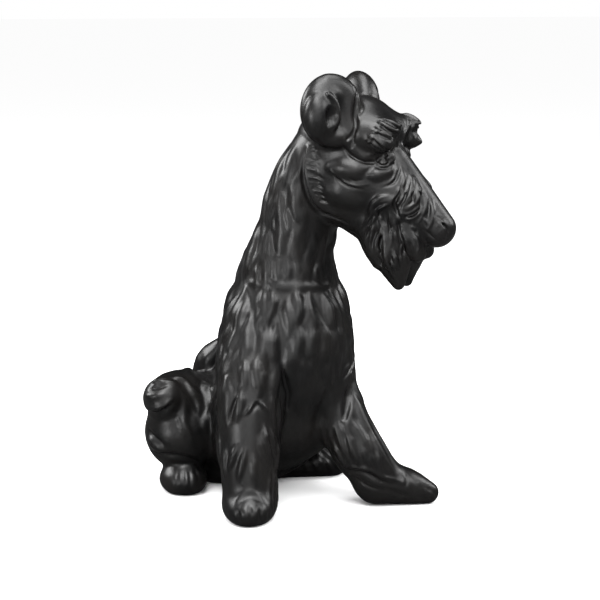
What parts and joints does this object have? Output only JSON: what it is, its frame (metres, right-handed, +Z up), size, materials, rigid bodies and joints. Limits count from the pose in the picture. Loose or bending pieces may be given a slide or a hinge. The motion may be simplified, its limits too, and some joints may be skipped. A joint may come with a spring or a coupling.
{
  "type": "ceramic dog figurine",
  "caption": "Hollow black-glazed ceramic figurine of a sitting wire-haired terrier, head turned to its left, with cupped ears, bushy brows and a long beard.",
  "frame": {"origin": "on the table, under the middle of the figurine's outline", "axes": "+Z up; -Y the way the dog's chest faces; +X the dog's left-hand side"},
  "size_m": [0.158, 0.187, 0.2856],
  "materials": {
    "black_glaze": "satin black glaze"
  },
  "bodies": {
    "root": {"torso": "black_glaze", "head": "black_glaze", "beard": "black_glaze", "right_ear": "black_glaze", "left_ear": "black_glaze", "right_brow": "black_glaze", "left_brow": "black_glaze", "right_foreleg": "black_glaze", "left_foreleg": "black_glaze", "right_hind_leg": "black_glaze", "left_hind_leg": "black_glaze", "tail": "black_glaze"}
  },
  "joints": []
}
